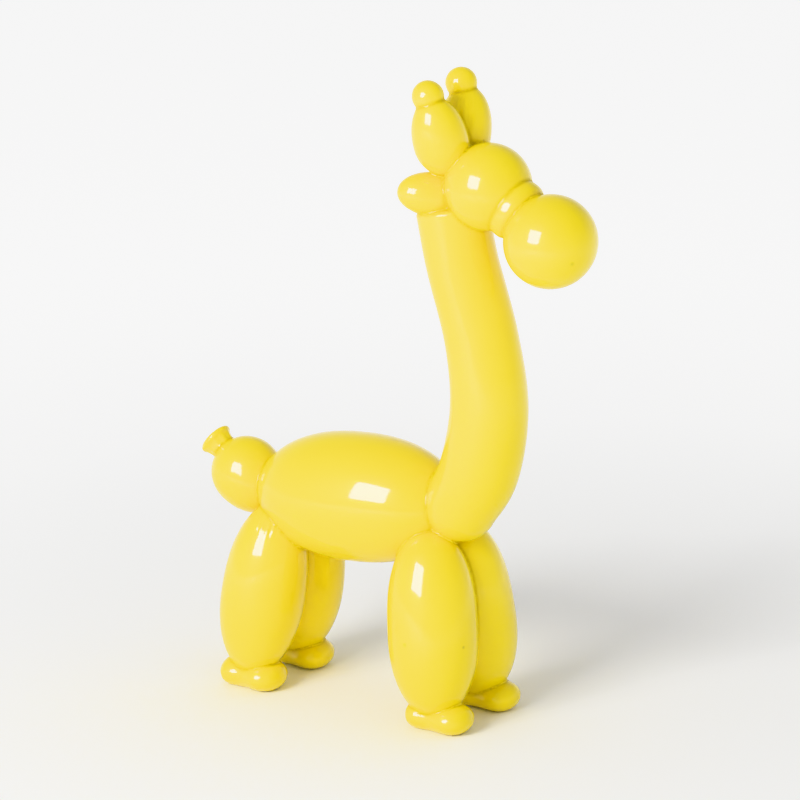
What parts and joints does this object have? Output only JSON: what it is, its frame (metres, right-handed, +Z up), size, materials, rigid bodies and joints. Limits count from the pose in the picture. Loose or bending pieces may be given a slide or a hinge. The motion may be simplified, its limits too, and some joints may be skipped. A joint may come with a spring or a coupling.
{
  "type": "balloon giraffe ornament",
  "caption": "Standing giraffe ornament shaped like a twisted balloon animal, cast in one piece with rounded bubbles for head, neck, body and legs, glossy yellow.",
  "frame": {"origin": "on the floor, under the middle of the figure's bounding box", "axes": "+X the way the giraffe faces, +Y its left side, +Z up"},
  "size_m": [0.3147, 0.1086, 0.4499],
  "materials": {
    "yellow_gloss_paint": "glossy yellow lacquer over cast resin"
  },
  "bodies": {
    "root": {"balloon_giraffe": "yellow_gloss_paint"}
  },
  "joints": []
}
